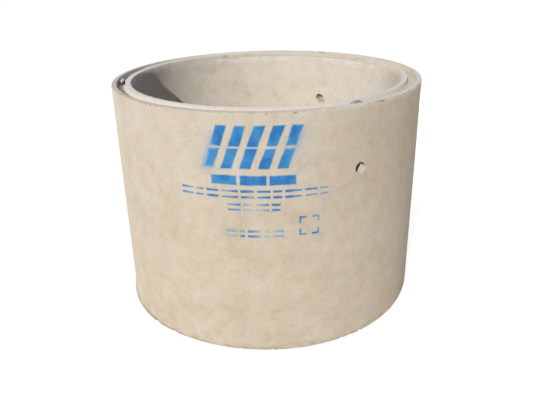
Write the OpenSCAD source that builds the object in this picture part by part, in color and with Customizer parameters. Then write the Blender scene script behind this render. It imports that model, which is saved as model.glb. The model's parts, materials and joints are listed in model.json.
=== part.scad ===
// Precast concrete chamber ring, as used for culverts and manholes: a short thick-walled
// cylinder with a tongue and groove joint, lifting holes and a steel hairpin bar cast in near each.
// It stands on its tongue. The origin is on its axis, at the underside of the tongue.

/* [Ring] */
// Diameter of the bore
bore_d = 1200; // [900:10:1800]
// Thickness of the wall
wall = 90; // [85:1:140]
// Height of the outer face, from shoulder to rim, which is the laying height
face_h = 1000; // [500:10:1500]

/* [Joint] */
// Width of the lip that stands outside the groove
lip_w = 22; // [16:1:30]
// Width of the groove at its mouth
groove_w = 38; // [32:1:46]
// Depth of the groove
groove_depth = 20; // [18:1:28]
// How far each flank of the groove leans in from mouth to floor
groove_draft = 3; // [0.5:0.5:5]
// Gap on each flank between a tongue and the groove that it sits in
flank_gap = 2; // [1:0.5:4]
// Gap under a tongue for the sealing bed
bed_gap = 2; // [1:0.5:6]

/* [Edges] */
// Bevel on the outer edge of the rim and on the tip of the tongue
edge_bevel = 3; // [1:0.5:5]
// Width of the lead-in bevel round the top of the bore
lead_in_w = 8; // [4:1:14]
// Height of the lead-in bevel round the top of the bore
lead_in_h = 18; // [8:1:30]
// How far the foot of the outer face is drawn in
foot_bevel_w = 3; // [1:0.5:6]
// Height of the foot of the outer face
foot_bevel_h = 15; // [8:1:30]

/* [Lifting holes] */
// Diameter of a lifting hole
lift_hole_d = 44; // [30:1:60]
// Depth of a lifting hole's axis below the rim
lift_hole_drop = 245; // [200:5:320]

/* [Hairpin bars] */
// Diameter of the bar
bar_d = 16; // [10:1:18]
// Width of a hairpin over its bar
hairpin_w = 60; // [54:1:80]
// Length of the straight stretch across the crown
crown_len = 14; // [6:1:18]
// Height of the crown above the rim
crown_rise = 4; // [0:0.5:8]
// Length of a leg below the floor of the groove
leg_len = 120; // [60:5:140]

/* [Hidden] */
$fn = 180;

// Bearings of the lifting holes, from +X towards +Y
lift_angles = [60, 180, 300];
// Bearings of the hairpins, which are set by hand near the holes
hairpin_angles = [61, 186, 300];
// Reach of a cutter past the face that it cuts
overrun = 5;

bore_r = bore_d / 2;
outer_r = bore_r + wall;

// The tongue follows the groove of a like ring below it, less the gaps of the joint
tongue_h = groove_depth - bed_gap;
shoulder_z = tongue_h;
rim_z = shoulder_z + face_h;
floor_z = rim_z - groove_depth;
groove_out_r = outer_r - lip_w;
groove_in_r = groove_out_r - groove_w;
groove_mid_r = (groove_out_r + groove_in_r) / 2;
tongue_out_r = groove_out_r - flank_gap;
tongue_in_r = groove_in_r + flank_gap;
tongue_lean = groove_draft * (tongue_h - edge_bevel) / groove_depth;
tip_out_r = tongue_out_r - tongue_lean;
tip_in_r = tongue_in_r + tongue_lean;

// A hairpin's bends rise from the floor of the groove, or higher where the crown is narrow
bar_r = bar_d / 2;
leg_gap = hairpin_w - bar_d;
bend_r = min(groove_depth + crown_rise - bar_r, (leg_gap - crown_len) / 2);
crown_z = rim_z + crown_rise - bar_r;
bend_z = crown_z - bend_r;
leg_foot_z = floor_z - leg_len;

concrete_colour = [0.84, 0.79, 0.70];
steel_colour = [0.30, 0.28, 0.26];

// Half section of the ring, from the tip of the tongue up the outer face and down the bore
module ring_section() {
    polygon([
        [tip_in_r + edge_bevel, 0],
        [tip_out_r - edge_bevel, 0],
        [tip_out_r, edge_bevel],
        [tongue_out_r, shoulder_z],
        [outer_r - foot_bevel_w, shoulder_z],
        [outer_r, shoulder_z + foot_bevel_h],
        [outer_r, rim_z - edge_bevel],
        [outer_r - edge_bevel, rim_z],
        [groove_out_r, rim_z],
        [groove_out_r - groove_draft, floor_z],
        [groove_in_r + groove_draft, floor_z],
        [groove_in_r, rim_z],
        [bore_r + lead_in_w, rim_z],
        [bore_r, rim_z - lead_in_h],
        [bore_r, shoulder_z],
        [tongue_in_r, shoulder_z],
        [tip_in_r, edge_bevel]
    ]);
}

// Cutter for one lifting hole, straight through the wall along +X
module lifting_hole() {
    translate([bore_r - overrun, 0, rim_z - lift_hole_drop])
        rotate([0, 90, 0])
            cylinder(d = lift_hole_d, h = wall + 2 * overrun);
}

// The two upright lengths of bar at the legs of a hairpin
module legs(top_z) {
    for (side = [-1, 1])
        translate([groove_mid_r, side * leg_gap / 2, leg_foot_z])
            cylinder(r = bar_r, h = top_z - leg_foot_z);
}

// One bend of a hairpin, from the top of the leg on +Y to the end of the crown
module bend() {
    translate([groove_mid_r, leg_gap / 2 - bend_r, bend_z])
        rotate([90, 0, 90])
            rotate_extrude(angle = 90)
                translate([bend_r, 0])
                    circle(r = bar_r);
}

// The straight stretch across the crown of a hairpin
module crown() {
    straight = leg_gap - 2 * bend_r;
    translate([groove_mid_r, straight / 2, crown_z])
        rotate([90, 0, 0])
            cylinder(r = bar_r, h = straight);
}

module concrete_ring() {
    color(concrete_colour)
        difference() {
            rotate_extrude() ring_section();
            for (angle = lift_angles)
                rotate([0, 0, angle]) lifting_hole();
            for (angle = hairpin_angles)
                rotate([0, 0, angle]) legs(floor_z + overrun);
        }
}

module hairpin_bar(angle) {
    color(steel_colour)
        rotate([0, 0, angle]) {
            legs(bend_z);
            crown();
            bend();
            mirror([0, 1, 0]) bend();
        }
}

concrete_ring();
hairpin_bar(hairpin_angles[0]);  // hairpin_bar_1
hairpin_bar(hairpin_angles[1]);  // hairpin_bar_2
hairpin_bar(hairpin_angles[2]);  // hairpin_bar_3
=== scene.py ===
"""Looks of a precast concrete chamber ring: worn concrete, cast-in bars and a sprayed handling mark.

Lengths are in metres in the part's own frame, and bearings run from +X towards +Y.
"""

from __future__ import annotations

import json
import logging
import math
import random
from collections.abc import Callable, Iterator, Sequence
from contextlib import contextmanager
from dataclasses import dataclass
from enum import Enum
from functools import reduce
from typing import Any

import bmesh
import bpy
from mathutils import Matrix, Vector

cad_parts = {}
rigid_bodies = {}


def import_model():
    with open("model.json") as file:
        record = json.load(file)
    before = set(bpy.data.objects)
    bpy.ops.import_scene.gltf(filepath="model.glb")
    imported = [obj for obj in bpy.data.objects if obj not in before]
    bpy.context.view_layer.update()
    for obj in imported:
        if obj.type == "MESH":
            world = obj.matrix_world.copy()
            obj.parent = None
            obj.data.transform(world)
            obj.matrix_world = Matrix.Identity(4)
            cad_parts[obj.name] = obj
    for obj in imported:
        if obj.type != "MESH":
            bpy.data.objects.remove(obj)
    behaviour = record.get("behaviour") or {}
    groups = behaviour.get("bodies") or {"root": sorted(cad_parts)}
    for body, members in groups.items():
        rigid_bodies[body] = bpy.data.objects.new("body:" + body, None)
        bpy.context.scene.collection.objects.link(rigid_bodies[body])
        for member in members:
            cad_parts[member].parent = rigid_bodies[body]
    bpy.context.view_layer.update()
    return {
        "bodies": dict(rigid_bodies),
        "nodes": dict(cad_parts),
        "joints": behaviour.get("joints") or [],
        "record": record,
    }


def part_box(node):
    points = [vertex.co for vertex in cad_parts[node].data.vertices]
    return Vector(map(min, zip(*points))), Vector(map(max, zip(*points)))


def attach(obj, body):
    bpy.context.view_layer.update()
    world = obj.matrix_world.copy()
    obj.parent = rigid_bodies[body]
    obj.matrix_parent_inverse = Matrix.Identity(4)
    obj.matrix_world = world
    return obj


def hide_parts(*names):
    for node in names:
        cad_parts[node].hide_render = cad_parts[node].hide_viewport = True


LOG = logging.getLogger("ring")
MM = 0.001
BODY = "root"
RING_NODE = "concrete_ring"
CHIP_ATTRIBUTE = "chip"

Colour = tuple[float, float, float]
Point = tuple[float, float, float]
Pair = tuple[float, float]


class Pick(Enum):
    """What is selected in edit mode."""

    POINTS = "VERT"
    EDGES = "EDGE"
    FACES = "FACE"


class LampKind(Enum):
    """How a lamp shines: from far off with parallel light, or from a soft disc some way off."""

    FAR = "SUN"
    DISC = "AREA"


def linear(red: int, green: int, blue: int) -> Colour:
    """Turn a colour as a screen shows it into the linear values that a shader takes.

    Args:
        red: Red from 0 to 255.
        green: Green from 0 to 255.
        blue: Blue from 0 to 255.

    Returns:
        The colour as three linear values from 0 to 1.
    """

    def one(value: int) -> float:
        """Undo the screen's curve for one channel."""
        share = value / 255
        return share / 12.92 if share <= 0.04045 else ((share + 0.055) / 1.055) ** 2.4

    return one(red), one(green), one(blue)


def swell(place: Vector, bearing: float, spread: float) -> float:
    """Give 1 at a bearing, down to about a third at the spread on both sides of it, both in degrees."""
    off = (math.degrees(math.atan2(place.y, place.x)) - bearing + 180) % 360 - 180
    return math.exp(-(off / spread) ** 2)


class Flow:
    """One output of a shader's node, with arithmetic that adds Math nodes."""

    def __init__(self, shader: Shader, socket: bpy.types.NodeSocket) -> None:
        """Wrap an output socket of a shader's tree."""
        self.shader = shader
        self.socket = socket

    def _math(self, operation: str, *values: Flow | float) -> Flow:
        """Add one Math node on the given values."""
        return self.shader.node("ShaderNodeMath", {"operation": operation}, dict(enumerate(values)))

    def __add__(self, other: Flow | float) -> Flow:
        """Give the sum."""
        return self._math("ADD", self, other)

    def __radd__(self, other: float) -> Flow:
        """Give the sum with a number on the left."""
        return self._math("ADD", other, self)

    def __sub__(self, other: Flow | float) -> Flow:
        """Give the difference."""
        return self._math("SUBTRACT", self, other)

    def __rsub__(self, other: float) -> Flow:
        """Give the difference from a number on the left."""
        return self._math("SUBTRACT", other, self)

    def __mul__(self, other: Flow | float) -> Flow:
        """Give the product."""
        return self._math("MULTIPLY", self, other)

    def __rmul__(self, other: float) -> Flow:
        """Give the product with a number on the left."""
        return self._math("MULTIPLY", other, self)

    def __abs__(self) -> Flow:
        """Give the distance from zero."""
        return self._math("ABSOLUTE", self)

    def low(self, other: Flow | float) -> Flow:
        """Give the smaller of two values."""
        return self._math("MINIMUM", self, other)

    def high(self, other: Flow | float) -> Flow:
        """Give the larger of two values."""
        return self._math("MAXIMUM", self, other)

    def root(self) -> Flow:
        """Give the square root."""
        return self._math("SQRT", self)

    def angle(self, reach: Flow) -> Flow:
        """Give the angle of a point from its side step, this value, and its reach."""
        return self._math("ARCTAN2", self, reach)

    def fade(self, start: float, end: float) -> Flow:
        """Fade smoothly from 0 to 1.

        Args:
            start: The value at which the result is 0.
            end: The value at which the result is 1, which may be the smaller one.

        Returns:
            A value from 0 to 1.
        """
        if start > end:
            return 1 - self.fade(end, start)
        inputs = {"Value": self, "From Min": start, "From Max": end}
        return self.shader.node("ShaderNodeMapRange", {"interpolation_type": "SMOOTHSTEP"}, inputs)

    def fade_at(self, level: float, start: float, end: float) -> Flow:
        """Fade from 0 to 1 between two places that are given in millimetres from a level."""
        return self.fade(level + start * MM, level + end * MM)


class Shader:
    """A material's or the world's node tree, filled by one node-making method."""

    def __init__(self, owner: bpy.types.Material | bpy.types.World) -> None:
        """Start an empty tree.

        Args:
            owner: The material or the world that the tree belongs to.
        """
        owner.use_nodes = True
        self.tree = owner.node_tree
        self.tree.nodes.clear()

    def node(self, kind: str, settings: dict[str, Any] | None = None, inputs: dict[Any, Any] | None = None,
             output: str | int = 0) -> Flow | None:
        """Add a node, set it up and join its inputs.

        Args:
            kind: The node's type.
            settings: Its settings.
            inputs: Values or flows by the socket's name or number.
            output: The name or number of the output to hand back.

        Returns:
            The chosen output, or None where the node has no output.
        """
        made = self.tree.nodes.new(kind)
        for key, value in (settings or {}).items():
            setattr(made, key, value)
        for key, value in (inputs or {}).items():
            socket = made.inputs[key]
            if isinstance(value, Flow):
                self.tree.links.new(value.socket, socket)
            elif socket.type == "RGBA":
                socket.default_value = (*value, 1)
            else:
                socket.default_value = value
        return Flow(self, made.outputs[output]) if len(made.outputs) else None

    def axis(self, vector: Flow, number: int) -> Flow:
        """Give one of the three values of a vector."""
        return self.node("ShaderNodeSeparateXYZ", None, {0: vector}, number)

    def mix(self, share: Flow, first: Flow | Colour, second: Flow | Colour) -> Flow:
        """Mix two colours by the share of the second one."""
        return self.node("ShaderNodeMix", {"data_type": "RGBA"}, {0: share, 6: first, 7: second}, 2)

    def coats(self, base: Flow | Colour, *layers: tuple[Flow, Colour]) -> Flow:
        """Lay coats of colour over a base.

        Args:
            base: The colour below them.
            layers: How much of each coat there is, from 0 to 1, and its colour, from the lowest coat up.

        Returns:
            The colour on top.
        """
        for share, tint in layers:
            base = self.mix(share, base, tint)
        return base

    def bump(self, height: Flow, depth: float) -> Flow:
        """Turn a height from 0 to 1 into a bumped normal, where 1 stands for that depth."""
        return self.node("ShaderNodeBump", None, {"Height": height, "Distance": depth, "Strength": 1.0})

    def surface(self, inputs: dict[str, Any]) -> None:
        """Close a material with its surface shader, by values or flows for its sockets."""
        made = self.node("ShaderNodeBsdfPrincipled", None, inputs)
        self.node("ShaderNodeOutputMaterial", None, {"Surface": made})


class Place:
    """Where a point lies on the part, as flows of its coordinates."""

    def __init__(self, shader: Shader) -> None:
        """Read the place.

        Args:
            shader: The shader that reads it.
        """
        self.shader = shader
        self.vector = shader.node("ShaderNodeTexCoord", output="Object")
        self.x, self.y, self.height = (shader.axis(self.vector, number) for number in range(3))
        self.radius = (self.x * self.x + self.y * self.y).root()

    def around(self, bearing: float, radius: float) -> Flow:
        """Give the arc from a bearing, in radians, on a circle of that radius round the axis."""
        across, along = math.cos(bearing), math.sin(bearing)
        return (self.y * across - self.x * along).angle(self.x * across + self.y * along) * radius

    def cells(self, size: float, output: str) -> Flow:
        """Read one output of a pattern of cells of about that size."""
        inputs = {"Vector": self.vector, "Scale": 1 / size}
        return self.shader.node("ShaderNodeTexVoronoi", None, inputs, output)


@dataclass(frozen=True)
class Pattern:
    """Soft noise over a piece.

    The detail is how many finer layers it has, and the roughness is how strong they are. The shift moves it,
    so that no two patterns line up, and the squeeze makes it finer along the height.
    """

    size: float
    detail: float = 2
    roughness: float = 0.5
    shift: float = 0
    squeeze: float = 1

    def read(self, place: Place) -> Flow:
        """Read the noise.

        Args:
            place: The place on the piece.

        Returns:
            A value around 0.5.
        """
        moved = {"Vector": place.vector, "Location": (self.shift,) * 3, "Scale": (1, 1, self.squeeze)}
        return place.shader.node("ShaderNodeTexNoise", None, {
            "Vector": place.shader.node("ShaderNodeMapping", None, moved),
            "Scale": 1 / self.size,
            "Detail": self.detail,
            "Roughness": self.roughness,
        })


class Bench:
    """The modelling bench: operators on one object at a time."""

    @staticmethod
    def clear() -> None:
        """Leave nothing selected."""
        bpy.ops.object.select_all(action="DESELECT")

    @staticmethod
    def take(piece: bpy.types.Object) -> None:
        """Select one object alone and make it the active one.

        Args:
            piece: The object.
        """
        Bench.clear()
        piece.select_set(True)
        bpy.context.view_layer.objects.active = piece

    @staticmethod
    @contextmanager
    def editing(piece: bpy.types.Object, pick: Pick) -> Iterator[None]:
        """Open an object in edit mode with nothing selected.

        Args:
            piece: The object.
            pick: What is selected there.

        Yields:
            Nothing; the object is in edit mode meanwhile.
        """
        Bench.take(piece)
        bpy.ops.object.mode_set(mode="EDIT")
        bpy.ops.mesh.select_mode(type=pick.value)
        bpy.ops.mesh.select_all(action="DESELECT")
        yield
        bpy.ops.object.mode_set(mode="OBJECT")

    @staticmethod
    def pick_faces(piece: bpy.types.Object, test: Callable[[Vector], bool]) -> None:
        """Select faces in edit mode.

        Args:
            piece: The object.
            test: Tells from the middle of a face whether it is selected.
        """
        mesh = bmesh.from_edit_mesh(piece.data)
        for face in mesh.faces:
            face.select_set(test(face.calc_center_median()))
        bmesh.update_edit_mesh(piece.data)

    @staticmethod
    def pick_points(piece: bpy.types.Object, test: Callable[[Vector], bool]) -> None:
        """Select points in edit mode.

        Args:
            piece: The object.
            test: Tells from the place of a point whether it is selected.
        """
        mesh = bmesh.from_edit_mesh(piece.data)
        for point in mesh.verts:
            point.select_set(test(point.co))
        mesh.select_flush(True)
        bmesh.update_edit_mesh(piece.data)

    @staticmethod
    def extrude(rise: float, share: float) -> None:
        """Extrude what is selected along Z, and widen it round the axis to a share of its width."""
        bpy.ops.mesh.extrude_region_move(TRANSFORM_OT_translate={"value": (0, 0, rise)})
        bpy.ops.transform.resize(value=(share, share, 1), center_override=(0, 0, 0))

    @staticmethod
    def weigh(piece: bpy.types.Object, name: str, weight: Callable[[Vector], float],
              least: float = 0) -> None:
        """Gather an object's points in a vertex group.

        Args:
            piece: The object.
            name: The group's name.
            weight: Gives a point's weight from its place.
            least: The weight that a point has to pass.
        """
        group = piece.vertex_groups.new(name=name)
        for vertex in piece.data.vertices:
            share = weight(vertex.co)
            if share > least:
                group.add([vertex.index], share, "REPLACE")

    @staticmethod
    def apply(piece: bpy.types.Object, kind: str, **settings: Any) -> None:
        """Add a modifier to an object and apply it.

        Args:
            piece: The object.
            kind: The modifier's type.
            settings: The modifier's settings.
        """
        Bench.take(piece)
        modifier = piece.modifiers.new(kind.lower(), kind)
        for key, value in settings.items():
            setattr(modifier, key, value)
        bpy.ops.object.modifier_apply(modifier=modifier.name)

    @staticmethod
    def clouds(name: str, grain: float) -> bpy.types.Texture:
        """Make a cloudy texture to break a surface with.

        Args:
            name: The texture's name.
            grain: The size of its clouds.

        Returns:
            The texture.
        """
        made = bpy.data.textures.new(name, "CLOUDS")
        made.noise_scale = grain
        return made

    @staticmethod
    def roughen(piece: bpy.types.Object, texture: bpy.types.Texture, strength: float, middle: float = 0,
                group: str = "") -> None:
        """Push an object's points, or a group's, along their normals by a texture and its middle grey."""
        Bench.apply(piece, "DISPLACE", texture=texture, texture_coords="LOCAL", strength=strength,
                    mid_level=middle, vertex_group=group)

    @staticmethod
    def cut(piece: bpy.types.Object, cutter: bpy.types.Object) -> None:
        """Cut a cutter's shape out of an object, and throw the cutter away."""
        Bench.apply(piece, "BOOLEAN", operation="DIFFERENCE", object=cutter, solver="EXACT")
        bpy.data.objects.remove(cutter)

    @staticmethod
    def settle(piece: bpy.types.Object) -> None:
        """Put an object's place, turn and scale into its mesh."""
        Bench.take(piece)
        bpy.ops.object.transform_apply(location=True, rotation=True, scale=True)

    @staticmethod
    def join(pieces: Sequence[bpy.types.Object]) -> bpy.types.Object:
        """Join several objects.

        Args:
            pieces: The objects.

        Returns:
            The first of them, which holds all.
        """
        Bench.clear()
        for piece in pieces:
            piece.select_set(True)
        bpy.context.view_layer.objects.active = pieces[0]
        bpy.ops.object.join()
        return pieces[0]

    @staticmethod
    def dress(piece: bpy.types.Object, material: bpy.types.Material) -> None:
        """Give an object one material all over."""
        piece.data.materials.clear()
        piece.data.materials.append(material)


@dataclass(frozen=True)
class Section:
    """The ring's half section, as its solids have it."""

    outer_r: float
    bore_r: float
    rim_z: float
    hole_z: float
    lip_w: float = 22 * MM
    groove_w: float = 38 * MM
    groove_depth: float = 20 * MM
    groove_draft: float = 3 * MM
    flank_gap: float = 2 * MM
    bed_gap: float = 2 * MM
    edge_bevel: float = 3 * MM
    lead_in_w: float = 8 * MM
    lead_in_h: float = 18 * MM
    foot_w: float = 3 * MM
    foot_h: float = 15 * MM

    @classmethod
    def from_frame(cls, record: dict[str, Any]) -> Section:
        """Read the ring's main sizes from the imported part.

        Args:
            record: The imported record.

        Returns:
            The section.
        """
        mounts = {mount["name"]: mount for mount in record["mounts"]}
        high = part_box(RING_NODE)[1]
        return cls(outer_r=high.x, bore_r=mounts["bore"]["dims"]["r_mm"] * MM, rim_z=high.z,
                   hole_z=mounts["lifting_hole_1"]["pos_m"][2])

    @property
    def wall(self) -> float:
        """Give the thickness of the wall."""
        return self.outer_r - self.bore_r

    @property
    def shoulder_z(self) -> float:
        """Give the height of the shoulder over the tip of the tongue."""
        return self.groove_depth - self.bed_gap

    @property
    def lead_in_z(self) -> float:
        """Give the height at which the bore starts to open."""
        return self.rim_z - self.lead_in_h

    @property
    def groove_out_r(self) -> float:
        """Give the radius of the lip's inner edge."""
        return self.outer_r - self.lip_w

    @property
    def groove_in_r(self) -> float:
        """Give the radius of the inner land's outer edge."""
        return self.groove_out_r - self.groove_w

    def outline(self, fine: float, wide: float, band: float) -> list[Pair]:
        """Give the rows of points that the ring is swept through.

        Args:
            fine: The spacing of rows near an edge.
            wide: The spacing of rows on the walls.
            band: The height of wall near an edge that takes the fine spacing.

        Returns:
            Radius and height of each row, from the tip of the tongue round and back to it.
        """
        shoulder, rim, bevel = self.shoulder_z, self.rim_z, self.edge_bevel
        lean = self.groove_draft * (shoulder - bevel) / self.groove_depth
        root_out, root_in = self.groove_out_r - self.flank_gap, self.groove_in_r + self.flank_gap
        tip_out, tip_in = root_out - lean, root_in + lean
        floor = rim - self.groove_depth
        legs = [
            (tip_in + bevel, 0, fine),
            (tip_out - bevel, 0, fine),
            (tip_out, bevel, fine),
            (root_out, shoulder, fine),
            (self.outer_r - self.foot_w, shoulder, fine),
            (self.outer_r, shoulder + self.foot_h, fine),
            (self.outer_r, shoulder + self.foot_h + band, fine),
            (self.outer_r, rim - bevel - band, wide),
            (self.outer_r, rim - bevel, fine),
            (self.outer_r - bevel, rim, fine),
            (self.groove_out_r, rim, fine),
            (self.groove_out_r - self.groove_draft, floor, fine),
            (self.groove_in_r + self.groove_draft, floor, fine),
            (self.groove_in_r, rim, fine),
            (self.bore_r + self.lead_in_w, rim, fine),
            (self.bore_r, self.lead_in_z, fine),
            (self.bore_r, self.lead_in_z - band, fine),
            (self.bore_r, shoulder + band, wide),
            (self.bore_r, shoulder, fine),
            (root_in, shoulder, fine),
            (tip_in, bevel, fine),
            (tip_in + bevel, 0, fine),
        ]
        rows = [legs[0][:2]]
        for r, z, step in legs[1:]:
            last_r, last_z = rows[-1]
            count = max(1, round(math.hypot(r - last_r, z - last_z) / step))
            rows += [(last_r + (r - last_r) * i / count, last_z + (z - last_z) * i / count)
                     for i in range(1, count + 1)]
        return rows


@dataclass(frozen=True)
class Wear:
    """One worn edge of the ring: where it runs and how it is chipped.

    The edge is broken where the texture of its flakes passes the start, from 0 to 1. The spots are bearings
    where it is worn most and their spreads, in degrees, and the base is how far it is worn between them.
    """

    name: str
    edge_r: float
    edge_z: float
    reach: float
    depth: float
    grain: float
    start: float
    base: float
    spots: tuple[Pair, ...]
    ramp: float = 0.12

    def away(self, place: Vector) -> float:
        """Give how far a point lies from the edge."""
        return math.hypot(place.xy.length - self.edge_r, place.z - self.edge_z)

    def weight(self, place: Vector) -> float:
        """Give how far a point takes part in the wear.

        Args:
            place: The point.

        Returns:
            A value from 0 to 1.
        """
        away = self.away(place)
        if away >= self.reach:
            return 0.0
        local = max([self.base, *(swell(place, bearing, spread) for bearing, spread in self.spots)])
        return local * (1 - away / self.reach)

    def flakes(self) -> bpy.types.Texture:
        """Make the texture that says where the edge is broken.

        Returns:
            The texture, black where the edge is whole and white where it is broken.
        """
        made = Bench.clouds(self.name, self.grain)
        made.noise_depth = 1
        made.use_color_ramp = True
        whole, broken = made.color_ramp.elements
        whole.position, whole.color = self.start, (0, 0, 0, 1)
        broken.position, broken.color = self.start + self.ramp, (1, 1, 1, 1)
        return made


@dataclass(frozen=True)
class DashRow:
    """A row of the mark: pairs of thin dashes, a drop below the mark's middle."""

    drop: float
    lengths: tuple[float, ...]
    gap: float
    line: float
    height: float

    def distance(self, u: Flow, v: Flow) -> Flow:
        """Give the distance to the row.

        Args:
            u: The way along the outer face from the mark's middle.
            v: The height over the mark's middle.

        Returns:
            The distance, below 0 inside.
        """
        start = -(sum(self.lengths) + self.gap * (len(self.lengths) - 1)) / 2
        dashes = []
        for length in self.lengths:
            dashes.append(abs(u - (start + length / 2)) - length / 2)
            start += length + self.gap
        lines = abs(abs(v + self.drop) - (self.height - self.line) / 2) - self.line / 2
        return reduce(Flow.low, dashes).high(lines)


@dataclass(frozen=True)
class HandlingMark:
    """A plain sprayed mark: slanted stripes over a bar, rows of dashes, and a square frame.

    Its parts are placed round the middle of the stripes. Paint drifts past both ends of the stripes. An edge
    fades in from its first distance to its second, and a mist has a reach and a strength.
    """

    bearing: float = math.radians(-94.6)
    block_z: float = 0.874
    stripes: int = 5
    stripe_w: float = 0.040
    stripe_step: float = 0.068
    stripe_h: float = 0.158
    stripe_lean: float = 0.36
    bridge: float = 0.008
    bar: DashRow = DashRow(0.124, (0.096, 0.096, 0.096), gap=0.012, line=0.036, height=0.036)
    rows: tuple[DashRow, ...] = (
        DashRow(0.178, (0.046, 0.030, 0.046, 0.060, 0.046, 0.046, 0.030, 0.060, 0.046, 0.030),
                gap=0.013, line=0.007, height=0.030),
        DashRow(0.230, (0.048, 0.030, 0.048, 0.030), gap=0.013, line=0.007, height=0.028),
        DashRow(0.338, (0.040, 0.018, 0.048, 0.018, 0.040), gap=0.013, line=0.009, height=0.030),
    )
    frame_side: float = 0.070
    frame_line: float = 0.006
    frame_gap: float = 0.024
    frame_step: float = 0.206
    frame_drop: float = 0.312
    drift_w: float = 0.060
    drift_drop: float = 0.020
    drift_share: Pair = (0.62, 0.40)
    wander: float = 8 * MM
    crisp_edge: Pair = (4.5 * MM, -3.5 * MM)
    soft_edge: Pair = (12 * MM, -12 * MM)
    dash_edge: Pair = (2.5 * MM, -1.5 * MM)
    near_mist: Pair = (18 * MM, 0.26)
    wide_mist: Pair = (66 * MM, 0.12)

    def _stripes(self, u: Flow, v: Flow) -> Flow:
        """Give the distance to the slanted stripes, with a bridge across their middle.

        Args:
            u: The way along the outer face from the mark's middle.
            v: The height over the mark's middle.

        Returns:
            The distance, below 0 inside.
        """
        slanted = u - v * self.stripe_lean
        middles = [(number - (self.stripes - 1) / 2) * self.stripe_step for number in range(self.stripes)]
        nearest = reduce(Flow.low, [abs(slanted - middle) - self.stripe_w / 2 for middle in middles])
        return nearest.high(abs(v) - self.stripe_h / 2).high(self.bridge / 2 - abs(v))

    def _frame(self, u: Flow, v: Flow) -> Flow:
        """Give the distance to a square outline that is open at the middle of each side."""
        line = abs(abs(u).high(abs(v)) - self.frame_side / 2) - self.frame_line / 2
        return line.high(self.frame_gap / 2 - abs(u).low(abs(v)))

    def distance(self, place: Place, section: Section) -> tuple[Flow, Flow, Flow]:
        """Give the distances to the mark over the outer face.

        Args:
            place: The place on the ring.
            section: The ring's section.

        Returns:
            The distance to the stripes and their bar, and to everything else, below 0 inside, and 1 beside
            the stripes where the paint drifts.
        """
        u = place.around(self.bearing, section.outer_r)
        v = place.height - (section.shoulder_z + self.block_z)
        block = self._stripes(u, v).low(self.bar.distance(u, v))
        frame = self._frame(u - self.frame_step, v + self.frame_drop)
        rest = reduce(Flow.low, [row.distance(u, v) for row in self.rows], frame)
        half_w = self.stripe_step * self.stripes / 2
        start, end = (self.stripe_h * share for share in self.drift_share)
        beside = abs(u).fade(half_w - self.drift_w, half_w) * abs(v + self.drift_drop).fade(start, end)
        return block, rest, beside


@dataclass(frozen=True)
class Scratch:
    """A pale scratch on the outer face, from one bearing and height to another. Bearings in degrees."""

    bearing: float
    height: float
    end_bearing: float
    end_height: float
    width: float = 2.0 * MM

    def cover(self, place: Place, radius: float) -> Flow:
        """Give how much of the surface is scratched.

        Args:
            place: The place on the ring.
            radius: The radius of the outer face.

        Returns:
            1 on the scratch and 0 off it.
        """
        run = math.radians(self.end_bearing - self.bearing) * radius
        rise = self.end_height - self.height
        length = math.hypot(run, rise)
        u = place.around(math.radians(self.bearing), radius)
        v = place.height - self.height
        along = (u * run + v * rise) * (1 / length)
        across = abs(v * run - u * rise) * (1 / length)
        ends = along.fade(0, length * 0.2) * along.fade(length, length * 0.7)
        return across.fade(self.width, self.width * 0.3) * ends


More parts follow.
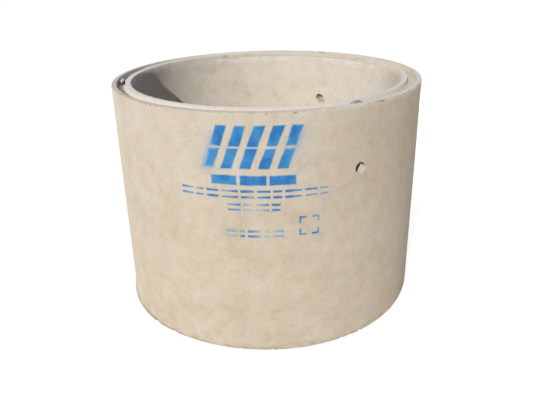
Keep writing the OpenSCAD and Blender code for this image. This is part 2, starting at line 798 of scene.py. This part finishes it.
@dataclass(frozen=True)
class ConcreteFinish:
    """Weathered precast concrete with a sprayed mark: its colours, and the patterns that spread them."""

    section: Section
    mark: HandlingMark = HandlingMark()
    scratches: tuple[Scratch, ...] = (
        Scratch(-78.3, 1.016, -82.0, 0.987),
        Scratch(34.0, 0.62, 41.0, 0.70),
        Scratch(128.0, 0.83, 121.0, 0.80),
        Scratch(-172.0, 0.41, -167.0, 0.36),
    )
    # Colours, as they look in plain light
    warm: Colour = linear(224, 210, 183)
    cool: Colour = linear(220, 210, 191)
    rosy: Colour = linear(225, 208, 187)
    cream: Colour = linear(241, 234, 222)
    pale: Colour = linear(240, 235, 228)
    tan: Colour = linear(184, 158, 118)
    skin: Colour = linear(184, 172, 162)
    stain: Colour = linear(182, 163, 134)
    dirt: Colour = linear(122, 112, 98)
    hole_top_shadow: Colour = linear(70, 67, 62)
    # painted shadow for the tops of the lifting holes
    pore_shade: Colour = linear(128, 116, 100)
    # painted shade in the small air holes
    bloom: Colour = linear(242, 239, 232)
    paint: Colour = linear(24, 125, 198)
    paint_thin: Colour = linear(56, 155, 214)
    mist: Colour = linear(66, 168, 224)
    # Patterns, and the small relief of the surface
    grit: Pattern = Pattern(7 * MM, 3, 0.7)
    lumps: Pattern = Pattern(16 * MM)
    clouds: Pattern = Pattern(85 * MM, 3, 0.6)
    shade: Pattern = Pattern(50 * MM, 5, 0.68, shift=3.7)
    blush: Pattern = Pattern(60 * MM, 3, 0.6, shift=8.1)
    broad: Pattern = Pattern(150 * MM, shift=5.9)
    patches: Pattern = Pattern(30 * MM, 3, 0.6, shift=1.9)
    streaks: Pattern = Pattern(55 * MM, 4, 0.62, shift=5.3, squeeze=2.4)
    spread: Pattern = Pattern(220 * MM, shift=9.6, squeeze=0.2)
    drift: Pattern = Pattern(60 * MM, shift=2.4)
    fading: Pattern = Pattern(140 * MM, 1, shift=6.2)
    pore_step: float = 30 * MM
    relief: float = 0.8 * MM
    # Zones that are coloured in their own way, by weather or by painted light and shade: where each starts,
    # and where it is full
    pale_z: Pair = (0.5, 1.0)
    dull_z: Pair = (0.4, 0.0)
    flank_y: Pair = (-0.64, -0.42)
    shaded_side_x: Pair = (0.10, 0.40)
    # The right side of the outer wall, where shade is painted
    shaded_side_z: Pair = (0.45, 0.85)
    right_x: Pair = (0.0, 0.48)
    far_left_x: Pair = (0.1, -0.3)
    far_left_y: Pair = (-0.05, 0.15)
    far_y: Pair = (0.05, 0.42)
    right_bore_x: Pair = (0.572, 0.60)
    right_bore_z: Pair = (0.75, 0.95)

    def material(self) -> bpy.types.Material:
        """Make the material.

        Returns:
            The concrete with its mark.
        """
        made = bpy.data.materials.new("weathered_concrete")
        shader = Shader(made)
        place = Place(shader)
        grit, pores = self.grit.read(place), self._pores(place)
        scratched = [scratch.cover(place, self.section.outer_r) for scratch in self.scratches]
        colour = self._body(place)
        for dress in (self._rim, self._bore, self._holes, self._foot):
            colour = dress(place, colour)
        colour = shader.coats(
            colour,
            (grit.fade(0.52, 0.32) * 0.20, self.tan),
            (grit.fade(0.52, 0.70) * 0.20, self.pale),
            *((cover * 0.6, self.bloom) for cover in scratched),
            # painted shade in the small air holes
            (pores * 0.6, self.pore_shade),
        )
        colour, sprayed = self._paint(place, colour, grit)
        relief = grit * 0.5 + self.lumps.read(place) * 0.5 - pores * 0.8
        shader.surface({
            "Base Color": colour,
            "Roughness": 0.93 - sprayed * 0.22,
            "Diffuse Roughness": 0.4,
            "Specular IOR Level": 0.18,
            "Normal": shader.bump(relief, self.relief),
        })
        return made

    def _outside(self, place: Place) -> Flow:
        """Give 1 on the outer face and 0 elsewhere."""
        return place.radius.fade_at(self.section.outer_r, -20, -10)

    def _in_bore(self, place: Place) -> Flow:
        """Give 1 in the bore and on its lead-in, and 0 elsewhere."""
        return place.radius.fade_at(self.section.bore_r, 14, 9)

    def _pores(self, place: Place) -> Flow:
        """Give the small round air holes, which only some cells of a pattern have, 1 at their middle."""
        chosen = place.shader.axis(place.cells(self.pore_step, "Color"), 0).fade(0.62, 0.72)
        return place.cells(self.pore_step, "Distance").fade(0.085, 0.045) * chosen

    def _body(self, place: Place) -> Flow:
        """Cloud the walls softly, paler towards the rim, duller low down, and with painted shade on the
        right side, away from the light.

        Args:
            place: The place on the ring.

        Returns:
            The colour of the walls.
        """
        height = place.height
        clouds, blush = self.clouds.read(place), self.blush.read(place)
        shade, broad = self.shade.read(place), self.broad.read(place)
        dark, dim = shade.fade(0.47, 0.78), broad.fade(0.50, 0.76)
        light, clear = shade.fade(0.53, 0.22), broad.fade(0.50, 0.26)
        below_rim = height.fade_at(self.section.rim_z, -4, -20)
        shaded_side = place.x.fade(*self.shaded_side_x) * self._outside(place) * below_rim
        flanks = place.y.fade(*self.flank_y)
        return place.shader.coats(
            self.warm,
            (clouds.fade(0.34, 0.68) * 0.8, self.cool),
            # painted light: the bore and its lead-in are made paler to stand in for light that does not
            # reach inside the ring
            (self._in_bore(place) * 0.42, self.cream),
            (blush.fade(0.42, 0.72) * 0.7, self.rosy),
            # painted shade: the right side, away from the light, misses the pale coat and takes a little tan
            (height.fade(*self.pale_z) * (1 - shaded_side) * 0.30, self.cream),
            (height.fade(*self.shaded_side_z) * shaded_side * 0.07, self.tan),
            (height.fade(*self.dull_z) * (flanks * 0.12 + 0.06), self.tan),
            (dark * 0.13 + dim * 0.08, self.tan),
            (dark * 0.08 + dim * 0.05, self.dirt),
            (light * 0.29 + clear * 0.18, self.cream),
        )

    def _rim(self, place: Place, colour: Flow) -> Flow:
        """Dull the lip and the groove's bed, lighten the inner land where it is worn clean, and paint light
        into the shaded groove on the far left and onto its inner flank.

        Args:
            place: The place on the ring.
            colour: The colour so far.

        Returns:
            The colour with the rim.
        """
        section, height, radius = self.section, place.height, place.radius
        patchy = self.patches.read(place) * 0.8 + 0.6
        right = place.x.fade(*self.right_x)
        far_left = place.y.fade(*self.far_left_y) * place.x.fade(*self.far_left_x)
        top = height.fade_at(section.rim_z, -5, -1)
        lip = radius.fade_at(section.groove_out_r, -2, 0)
        dull = (lip * (0.36 - right * 0.28)).high(right * 0.08)
        above_bed = height.fade_at(section.rim_z, -30, -24)
        bed = radius.fade_at(section.groove_in_r, 2, 4) * above_bed
        bed = bed * height.fade_at(section.rim_z, -10, -18) * (1 - self._outside(place))
        # painted light: the groove on the far left lies in shade and is made paler in its place
        far_groove_light = radius.fade_at(section.groove_in_r, 2, 6) * radius.fade_at(section.groove_out_r, 3, 1)
        far_groove_light = far_groove_light * above_bed * far_left
        land = radius.fade_at(section.groove_in_r, 5, 3.5) * radius.fade_at(section.bore_r, 2, 6)
        land = land * height.fade_at(section.rim_z, -22, -18)
        flank = radius.fade_at(section.groove_in_r, -1, 0.5)
        # the inner land is worn clean; its inner flank faces away from the light and is made paler, most on
        # the right: painted light
        clean_land_and_lit_flank = (1 - flank) * (0.94 - right * 0.64 - far_left * 0.34) + flank * (right * 0.15 + 0.70)
        return place.shader.coats(
            colour,
            (top * patchy * dull, self.skin),
            (bed * (1 - far_left) * 0.42, self.skin),
            # painted light in the shaded groove on the far left
            (far_groove_light * 0.9, self.cream),
            ((land * patchy * clean_land_and_lit_flank).low(1.0), self.cream),
        )

    def _bore(self, place: Place, colour: Flow) -> Flow:
        """Stain the lead-in on the far side, with a bloom of lime under it, and darken the bore towards its
        right end.

        Args:
            place: The place on the ring.
            colour: The colour so far.

        Returns:
            The colour with the bore.
        """
        height, edge_z = place.height, self.section.lead_in_z
        bore = self._in_bore(place)
        far = bore * place.y.fade(*self.far_y)
        streaks, spread = self.streaks.read(place), self.spread.read(place)
        lead_in = height.fade_at(edge_z, -2, 2) * far
        band = height.fade_at(edge_z, -12, 2) * far * streaks.fade(0.50, 0.66)
        under = height.fade_at(edge_z, -40, -14) * height.fade_at(edge_z, -2, -7)
        under = under * far * streaks.fade(0.60, 0.45) * spread.fade(0.34, 0.50)
        # darker towards the right end of the bore, high up
        right_bore_dark = place.x.fade(*self.right_bore_x) * height.fade(*self.right_bore_z) * bore
        return place.shader.coats(
            colour,
            (lead_in * (streaks * 0.5 + 0.1), self.stain),
            (band * spread.fade(0.40, 0.55) * 0.55, self.stain),
            (under * 0.95, self.bloom),
            (right_bore_dark * 0.24, self.stain),
        )

    def _holes(self, place: Place, colour: Flow) -> Flow:
        """Darken the inner half of the lifting holes and the broken wall below them, partly stain and partly
        painted shade, keep the outer half pale, and paint shadow into their tops.

        Args:
            place: The place on the ring.
            colour: The colour so far.

        Returns:
            The colour with the holes.
        """
        section, radius = self.section, place.radius
        hole = radius.fade_at(section.bore_r, 1, 5) * radius.fade_at(section.outer_r, -1, -5)
        hole = hole * abs(place.height - section.hole_z).fade(70 * MM, 60 * MM)
        inner = radius.fade(section.outer_r - 30 * MM, section.bore_r + 30 * MM)
        return place.shader.coats(
            colour,
            # partly stain and partly painted shade on the inner half of the holes and the broken wall
            (hole * inner * 0.42, self.stain),
            (hole * (1 - inner) * 0.25, self.cream),
            # painted shadow in the tops of the holes
            (hole * place.height.fade_at(section.hole_z, 0, 12), self.hole_top_shadow),
        )

    def _foot(self, place: Place, colour: Flow) -> Flow:
        """Dirty the foot and whatever is chipped, and darken the lowest few millimetres of the wall.

        Args:
            place: The place on the ring.
            colour: The colour so far.

        Returns:
            The colour with the dirt.
        """
        streaks = self.streaks.read(place)
        foot = place.height.fade_at(self.section.shoulder_z, 46, 0)
        edge = place.height.fade_at(self.section.shoulder_z, 7, -2)
        chip = place.shader.node("ShaderNodeAttribute", {"attribute_name": CHIP_ATTRIBUTE}, output="Fac")
        return place.shader.coats(
            colour,
            (foot * streaks.fade(0.40, 0.72) * 0.40, self.dirt),
            # darker along the lowest edge of the wall
            (edge * (streaks * 0.5 + 0.2), self.dirt),
            (chip.fade(0.15, 0.8) * 0.55, self.dirt),
        )

    def _paint(self, place: Place, colour: Flow, grit: Flow) -> tuple[Flow, Flow]:
        """Spray the mark on the outer face.

        Args:
            place: The place on the ring.
            colour: The concrete under it.
            grit: The grain of the concrete.

        Returns:
            The colour with the mark, and how much paint there is.
        """
        shader, mark = place.shader, self.mark
        block, rest, beside = mark.distance(place, self.section)
        drift = self.drift.read(place)
        wander = (drift - 0.5) * mark.wander
        crisp = (block + wander).fade(*mark.crisp_edge)
        soft = (block + wander).fade(*mark.soft_edge)
        solid = crisp + (soft - crisp) * beside
        thin = self.fading.read(place).fade(0.30, 0.58) * 0.6 + 0.35
        dashes = (rest + wander).fade(*mark.dash_edge) * thin
        mists = (mark.near_mist, mark.wide_mist)
        near, wide = (block.fade(reach, 0) * strength for reach, strength in mists)
        mist = (near + wide) * beside * (drift + 0.5)
        cover = solid.high(dashes).high(mist) * self._outside(place) * (grit * 0.24 + 0.84)
        tint = shader.coats(
            self.paint,
            (drift.fade(0.35, 0.65), self.paint_thin),
            (cover.fade(0.85, 0.35), self.mist),
        )
        return shader.mix(cover.low(0.97), colour, tint), cover


@dataclass(frozen=True)
class BarFinish:
    """Dark bar steel, rusty where it leaves the concrete, with splashes of cement, and worn bright on top
    with a painted highlight there that is strongest on the bar on the left.
    """

    section: Section
    scale: Colour = linear(92, 91, 91)
    # worn steel and painted highlight on the bar tops
    bright: Colour = linear(184, 182, 183)
    rust: Colour = linear(92, 74, 60)
    splash: Colour = linear(198, 188, 168)
    patches: Pattern = Pattern(7 * MM, 3, 0.6)
    spots: Pattern = Pattern(5 * MM, shift=4.4)
    relief: float = 0.5 * MM

    def material(self) -> bpy.types.Material:
        """Make the material.

        Returns:
            The bar steel.
        """
        made = bpy.data.materials.new("bar_steel")
        shader = Shader(made)
        place = Place(shader)
        depth = self.section.rim_z - place.height
        patches = self.patches.read(place)
        # painted highlight: the bar on the left, towards the light, takes more of the bright top than the
        # others
        side = place.x.fade(0.2, -0.4) * 0.36 + 0.64
        # the bright top is partly wear and partly a painted highlight
        worn = depth.fade(9 * MM, 2 * MM) * patches.fade(0.30, 0.52) * side
        rusty = depth.fade(8 * MM, 18 * MM) * patches.fade(0.42, 0.62)
        cement = self.spots.read(place).fade(0.60, 0.68) * depth.fade(4 * MM, 16 * MM)
        shader.surface({
            "Base Color": shader.coats(
                self.scale, (worn, self.bright), (rusty, self.rust), (cement, self.splash)),
            "Metallic": (1 - rusty * 0.8) * (1 - cement),
            "Roughness": 0.62 - worn * 0.30 + cement * 0.3,
            "Normal": shader.bump(patches, self.relief),
        })
        return made


@dataclass(frozen=True)
class AirHoles:
    """The larger air holes in the walls and the inner land, and how chance spreads them.

    The shares say how many of them are large, how many lie on the outer face and how many in the bore. The
    margins keep them off the edges, and the width and the rise are shares of a hole's size.
    """

    count: int = 150
    size_mm: Pair = (1.4, 3.2)
    large_share: float = 0.12
    large_factor: float = 1.4
    outer_share: float = 0.5
    bore_share: float = 0.4
    foot_margin: float = 30 * MM
    rim_margin: float = 20 * MM
    lead_in_margin: float = 40 * MM
    bevel_margin: float = 12 * MM
    groove_margin: float = 4 * MM
    width: Pair = (0.8, 1.5)
    rise: Pair = (0.8, 1.3)
    seed: int = 12

    def _spot(self, draw: random.Random, section: Section) -> Pair:
        """Draw where a hole lies on the section.

        Args:
            draw: The source of chance.
            section: The ring's section.

        Returns:
            The hole's radius and height.
        """
        foot_z = section.shoulder_z + self.foot_margin
        kind = draw.random()
        if kind < self.outer_share:
            return section.outer_r, draw.uniform(foot_z, section.rim_z - self.rim_margin)
        if kind < self.outer_share + self.bore_share:
            return section.bore_r, draw.uniform(foot_z, section.rim_z - self.lead_in_margin)
        land_r = (section.bore_r + self.bevel_margin, section.groove_in_r - self.groove_margin)
        return draw.uniform(*land_r), section.rim_z

    def cutters(self, section: Section) -> list[bpy.types.Object]:
        """Make one small lump for each hole, each with its own mesh.

        Args:
            section: The ring's section.

        Returns:
            The lumps in their places.
        """
        draw = random.Random(self.seed)
        Bench.clear()
        bpy.ops.mesh.primitive_ico_sphere_add(subdivisions=2, radius=1.0)
        lump = bpy.context.object
        cutters = []
        for number in range(self.count):
            bearing = draw.uniform(0, math.tau)
            size = draw.uniform(*self.size_mm) * MM
            size *= self.large_factor if draw.random() < self.large_share else 1.0
            radius, height = self._spot(draw, section)
            width, rise = draw.uniform(*self.width), draw.uniform(*self.rise)
            shape = Matrix.Diagonal((size, size * width, size * rise, 1))
            spot = Matrix.Translation((radius * math.cos(bearing), radius * math.sin(bearing), height))
            piece = lump.copy()
            piece.data = lump.data.copy()
            piece.name = f"air_hole_{number}"
            piece.data.transform(spot @ Matrix.Rotation(bearing, 4, "Z") @ shape)
            bpy.context.scene.collection.objects.link(piece)
            cutters.append(piece)
        bpy.data.objects.remove(lump)
        return cutters


@dataclass
class ConcreteRing:
    """The cast ring: its swept body, its holes and air holes, its chipped edges and the burr at its foot."""

    section: Section
    lifting_holes: Sequence[dict[str, Any]]
    segments: int = 384
    fine_step: float = 10 * MM
    wide_step: float = 46 * MM
    edge_band: float = 30 * MM
    weld: float = 0.01 * MM
    crease: float = math.radians(32)
    mouth_segments: int = 48
    mouth_flare: float = 2.5 * MM
    mouth_grain: float = 9 * MM
    mouth_break: float = 3 * MM
    air_holes: AirHoles = AirHoles()
    spall_bearing: float = math.radians(58.9)
    spall_drop: float = 21 * MM
    spall_size: Point = (15 * MM, 20 * MM, 21 * MM)
    spall_grain: float = 11 * MM
    spall_break: float = 9 * MM
    edge_reach: float = 11 * MM
    edge_round: float = 6 * MM
    full_chip: float = 3 * MM
    burr_bearing: float = -156
    burr_spread: float = 29
    burr_h: float = 45 * MM
    burr_w: float = 8 * MM
    burr_drop: float = 12.5 * MM
    burr_reach: float = 12 * MM

    def build(self) -> bpy.types.Object:
        """Model the ring.

        Returns:
            The ring, with its place in its mesh.
        """
        ring = self._sweep()
        self._cut(ring)
        self._spall(ring)
        self._refine_edges(ring)
        self._chip(ring)
        self._burr(ring)
        Bench.take(ring)
        bpy.ops.object.shade_smooth_by_angle(angle=self.crease)
        return ring

    def dress(self, ring: bpy.types.Object) -> None:
        """Give the ring its weathered concrete."""
        Bench.dress(ring, ConcreteFinish(self.section).material())

    def _sweep(self) -> bpy.types.Object:
        """Sweep one circle of points through the rows of the section and close it.

        Returns:
            The ring's plain body.
        """
        rows = self.section.outline(self.fine_step, self.wide_step, self.edge_band)
        start_r, start_z = rows[0]
        Bench.clear()
        bpy.ops.mesh.primitive_circle_add(vertices=self.segments, radius=start_r, location=(0, 0, start_z))
        ring = bpy.context.object
        ring.name = "cast_ring"
        with Bench.editing(ring, Pick.EDGES):
            bpy.ops.mesh.select_all(action="SELECT")
            for (last_r, last_z), (r, z) in zip(rows, rows[1:]):
                Bench.extrude(z - last_z, r / last_r)
            bpy.ops.mesh.select_all(action="SELECT")
            bpy.ops.mesh.remove_doubles(threshold=self.weld)
            bpy.ops.mesh.normals_make_consistent(inside=False)
        Bench.settle(ring)
        return ring

    def _cut(self, ring: bpy.types.Object) -> None:
        """Cut the lifting holes and the larger air holes out of the ring."""
        cutters = [self._hole_cutter(mount) for mount in self.lifting_holes]
        Bench.cut(ring, Bench.join(cutters + self.air_holes.cutters(self.section)))

    def _hole_cutter(self, mount: dict[str, Any]) -> bpy.types.Object:
        """Make the cutter of one lifting hole, flared and ragged at both mouths.

        Args:
            mount: The hole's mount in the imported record.

        Returns:
            The cutter in its place.
        """
        wall, flare, group = self.section.wall, self.mouth_flare, "mouth"
        radius, depth = mount["dims"]["r_mm"] * MM, wall - 2 * flare
        Bench.clear()
        bpy.ops.mesh.primitive_cylinder_add(vertices=self.mouth_segments, radius=radius, depth=depth)
        cutter = bpy.context.object
        with Bench.editing(cutter, Pick.FACES):
            for side in (-1, 1):
                bpy.ops.mesh.select_all(action="DESELECT")
                Bench.pick_faces(cutter, lambda place, s=side: s * place.z > wall / 3)
                for grow in (flare, 0.0):
                    Bench.extrude(side * flare, (radius + grow) / radius)
        Bench.weigh(cutter, group, lambda place: float(abs(place.z) > wall / 2 - 1.5 * flare))
        ragged = Bench.clouds("ragged_mouth", self.mouth_grain)
        Bench.roughen(cutter, ragged, self.mouth_break, middle=0.45, group=group)
        turn = Vector(mount["axis"]).to_track_quat("Z", "Y").to_matrix().to_4x4()
        cutter.matrix_world = Matrix.Translation(mount["pos_m"]) @ turn
        Bench.settle(cutter)
        return cutter

    def _spall(self, ring: bpy.types.Object) -> None:
        """Break out the wall under the inner mouth of one lifting hole.

        Args:
            ring: The ring.
        """
        spot = Vector((self.section.bore_r, 0, self.section.hole_z - self.spall_drop))
        Bench.clear()
        bpy.ops.mesh.primitive_ico_sphere_add(subdivisions=3, radius=1.0)
        lump = bpy.context.object
        lump.scale = self.spall_size
        lump.rotation_euler = (0, 0, self.spall_bearing)
        lump.location = Matrix.Rotation(self.spall_bearing, 4, "Z") @ spot
        Bench.settle(lump)
        ragged = Bench.clouds("ragged_spall", self.spall_grain)
        Bench.roughen(lump, ragged, self.spall_break, middle=0.5)
        Bench.cut(ring, lump)

    def _edges(self) -> list[Wear]:
        """List the edges that are worn.

        Returns:
            The edges, with the places where they are chipped most.
        """
        section, reach = self.section, self.edge_reach
        return [
            Wear("rim_edge", section.outer_r, section.rim_z, reach,
                 depth=8 * MM, grain=9 * MM, start=0.60, base=0.25,
                 spots=((-88, 10), (-38, 20), (-128, 4), (35, 9), (118, 14), (171, 8))),
            Wear("rim_edge_right", section.outer_r, section.rim_z, reach,
                 depth=7 * MM, grain=7 * MM, start=0.52, base=0.0,
                 spots=((-30, 12), (-52, 6))),
            Wear("bore_edge", section.bore_r + section.lead_in_w, section.rim_z, reach,
                 depth=6 * MM, grain=10 * MM, start=0.62, base=0.2,
                 spots=((108, 14), (72, 6), (-150, 8), (-20, 10))),
            Wear("foot_edge", section.outer_r - section.foot_w, section.shoulder_z, reach,
                 depth=8 * MM, grain=11 * MM, start=0.60, base=0.35,
                 spots=((-140, 14), (-60, 8), (60, 16))),
        ]

    def _refine_edges(self, ring: bpy.types.Object) -> None:
        """Divide the faces near the worn edges and take the knife edge off them.

        Args:
            ring: The ring.
        """
        edges = self._edges()

        def near(place: Vector, reach: float) -> bool:
            """Tell whether a place lies near a worn edge."""
            return any(edge.away(place) < reach for edge in edges)

        with Bench.editing(ring, Pick.FACES):
            Bench.pick_faces(ring, lambda place: near(place, self.edge_reach))
            bpy.ops.mesh.subdivide(number_cuts=2)
            bpy.ops.mesh.select_mode(type=Pick.POINTS.value)
            Bench.pick_points(ring, lambda place: near(place, self.edge_round))
            bpy.ops.mesh.vertices_smooth(factor=0.5, repeat=2)

    def _chip(self, ring: bpy.types.Object) -> None:
        """Break the worn edges, and keep how deep each point was broken for the finish.

        Args:
            ring: The ring.
        """
        before = [vertex.co.copy() for vertex in ring.data.vertices]
        for edge in self._edges():
            Bench.weigh(ring, edge.name, edge.weight)
            Bench.roughen(ring, edge.flakes(), -edge.depth, group=edge.name)
        ring.vertex_groups.clear()
        moved = [(vertex.co - old).length for vertex, old in zip(ring.data.vertices, before, strict=True)]
        chip = ring.data.attributes.new(CHIP_ATTRIBUTE, "FLOAT", "POINT")
        chip.data.foreach_set("value", [min(1.0, depth / self.full_chip) for depth in moved])

    def _burr_weight(self, place: Vector) -> float:
        """Give how far a point at the foot is drawn out where the mould leaked.

        Args:
            place: The point.

        Returns:
            A value from 0 to 1.
        """
        rise = (place.z - self.section.shoulder_z) / self.burr_h
        if place.xy.length < self.section.outer_r - self.burr_w or not -0.1 < rise < 1:
            return 0.0
        return swell(place, self.burr_bearing, self.burr_spread) * (1 - max(0.0, rise)) ** 2

    def _burr(self, ring: bpy.types.Object) -> None:
        """Draw the foot out and down where the mould leaked, and flatten it where it meets the ground.

        Args:
            ring: The ring.
        """
        group = "burr"
        Bench.weigh(ring, group, self._burr_weight, least=0.01)
        for direction, strength in (("Z", -self.burr_drop), ("NORMAL", self.burr_reach)):
            Bench.apply(ring, "DISPLACE", direction=direction, strength=strength, mid_level=0,
                        vertex_group=group)
        ring.vertex_groups.clear()
        with Bench.editing(ring, Pick.POINTS):
            Bench.pick_points(ring, lambda place: place.z < 0)
            bpy.ops.transform.resize(value=(1, 1, 0), center_override=(0, 0, 0))


@dataclass
class HairpinBars:
    """The steel bars cast into the groove, which keep the shape of their solids."""

    section: Section
    bars: dict[str, bpy.types.Object]

    def dress(self) -> None:
        """Give every bar its worn steel."""
        steel = BarFinish(self.section).material()
        for bar in self.bars.values():
            Bench.dress(bar, steel)


@dataclass(frozen=True)
class Lamp:
    """A lamp that points at the ring's middle.

    The bearing and the height are in degrees. The spread is an angle for a far lamp, and a width for a disc,
    which stands some way off.
    """

    name: str
    kind: LampKind
    bearing: float
    height: float
    power: float
    spread: float
    colour: Colour = (1, 1, 1)
    away: float = 0

    def hang(self, middle_z: float) -> None:
        """Hang the lamp.

        Args:
            middle_z: The height of the ring's middle.
        """
        lamp = bpy.data.lights.new(self.name, self.kind.value)
        lamp.energy = self.power
        lamp.color = self.colour
        if self.kind is LampKind.DISC:
            lamp.shape = "DISK"
            lamp.size = self.spread
        else:
            lamp.angle = self.spread
        bearing, height = math.radians(self.bearing), math.radians(self.height)
        flat = math.cos(height)
        towards = Vector((math.cos(bearing) * flat, math.sin(bearing) * flat, math.sin(height)))
        holder = bpy.data.objects.new(self.name, lamp)
        holder.location = Vector((0, 0, middle_z)) + towards * self.away
        holder.rotation_euler = towards.to_track_quat("Z", "Y").to_euler()
        bpy.context.scene.collection.objects.link(holder)


@dataclass(frozen=True)
class Studio:
    """Floor, lamps, sky and camera. The camera stands where the photograph was taken from."""

    section: Section
    picture_w: float = 533
    camera_away: float = 2.4451
    camera_up: float = 1.4719
    pitch: float = math.radians(21.734)
    yaw: float = math.radians(0.205)
    roll: float = math.radians(-1.311)
    focal_px: float = 531.82
    centre_lift_px: float = 25
    sensor_mm: float = 36
    floor_r: float = 60
    floor_segments: int = 96
    floor_colour: Colour = (0.38, 0.30, 0.22)
    floor_glow: Colour = (0.83, 0.85, 0.88)
    sky_power: float = 0.115
    sky_colour: Colour = (0.49, 0.78, 1.44)
    lamps: tuple[Lamp, ...] = (
        Lamp("main", LampKind.FAR, 250.4, 25.7, power=2.46, spread=math.radians(0.53),
             colour=(1.0, 0.985, 0.965)),
        Lamp("high", LampKind.FAR, 228, 62, power=0.58, spread=math.radians(20)),
        Lamp("back_right", LampKind.DISC, 52, 0, power=150, spread=1.6, away=4.6),
        Lamp("back_left", LampKind.DISC, 136, 0, power=70, spread=1.6, away=4.6),
    )

    def build(self) -> None:
        """Make the whole studio."""
        bpy.context.scene.view_settings.view_transform = "Standard"
        self._floor()
        self._sky()
        for lamp in self.lamps:
            lamp.hang(self.section.rim_z / 2)
        self._camera()

    @staticmethod
    def _seen(shader: Shader) -> Flow:
        """Give 1 for rays that show the background: straight, mirrored or through glass."""
        rays = ("Is Camera Ray", "Is Glossy Ray", "Is Transmission Ray")
        return reduce(Flow.high, [shader.node("ShaderNodeLightPath", output=ray) for ray in rays])

    def _floor(self) -> None:
        """Lay a pale floor that keeps the ring's shadow."""
        Bench.clear()
        bpy.ops.mesh.primitive_circle_add(
            vertices=self.floor_segments, radius=self.floor_r, fill_type="NGON")
        floor = bpy.context.object
        floor.name = "floor"
        material = bpy.data.materials.new("pale_floor")
        shader = Shader(material)
        matt = shader.node("ShaderNodeBsdfDiffuse", None, {"Color": self.floor_colour})
        inputs = {"Color": self.floor_glow, "Strength": self._seen(shader)}
        glow = shader.node("ShaderNodeEmission", None, inputs)
        both = shader.node("ShaderNodeAddShader", None, {0: matt, 1: glow})
        shader.node("ShaderNodeOutputMaterial", None, {"Surface": both})
        Bench.dress(floor, material)

    def _sky(self) -> None:
        """Light the scene evenly from all round, with white behind it."""
        world = bpy.data.worlds.new("studio")
        bpy.context.scene.world = world
        shader = Shader(world)
        light, white = (shader.node("ShaderNodeBackground", None, {"Color": colour, "Strength": power})
                        for colour, power in ((self.sky_colour, self.sky_power), ((1, 1, 1), 1.0)))
        both = shader.node("ShaderNodeMixShader", None, {0: self._seen(shader), 1: light, 2: white})
        shader.node("ShaderNodeOutputWorld", None, {"Surface": both})

    def _camera(self) -> None:
        """Stand the camera where it sees the ring as the photograph does."""
        camera = bpy.data.cameras.new("camera")
        camera.sensor_width = self.sensor_mm
        camera.lens = self.focal_px * self.sensor_mm / self.picture_w
        camera.shift_y = -self.centre_lift_px / self.picture_w
        stand = Matrix.Translation((0, -self.camera_away, self.section.shoulder_z + self.camera_up))
        turn = Matrix.Rotation(self.yaw, 4, "Z")
        tilt = Matrix.Rotation(math.pi / 2 - self.pitch, 4, "X")
        holder = bpy.data.objects.new("camera", camera)
        holder.matrix_world = stand @ turn @ tilt @ Matrix.Rotation(self.roll, 4, "Z")
        bpy.context.scene.collection.objects.link(holder)
        bpy.context.scene.camera = holder


def main() -> None:
    """Build the ring, dress it and its bars, and set up the studio."""
    logging.basicConfig(level=logging.INFO, format="%(name)s: %(message)s")
    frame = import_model()
    record = frame["record"]
    section = Section.from_frame(record)

    holes = [mount for mount in record["mounts"] if mount["name"].startswith("lifting_hole")]
    concrete = ConcreteRing(section, holes)
    ring = concrete.build()
    concrete.dress(ring)
    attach(ring, BODY)
    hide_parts(RING_NODE)
    LOG.info("%s: %d faces", ring.name, len(ring.data.polygons))

    bars = {name: node for name, node in frame["nodes"].items() if name != RING_NODE}
    HairpinBars(section, bars).dress()
    for name in bars:
        LOG.info("%s: dressed", name)

    Studio(section).build()


if __name__ == "__main__":
    main()
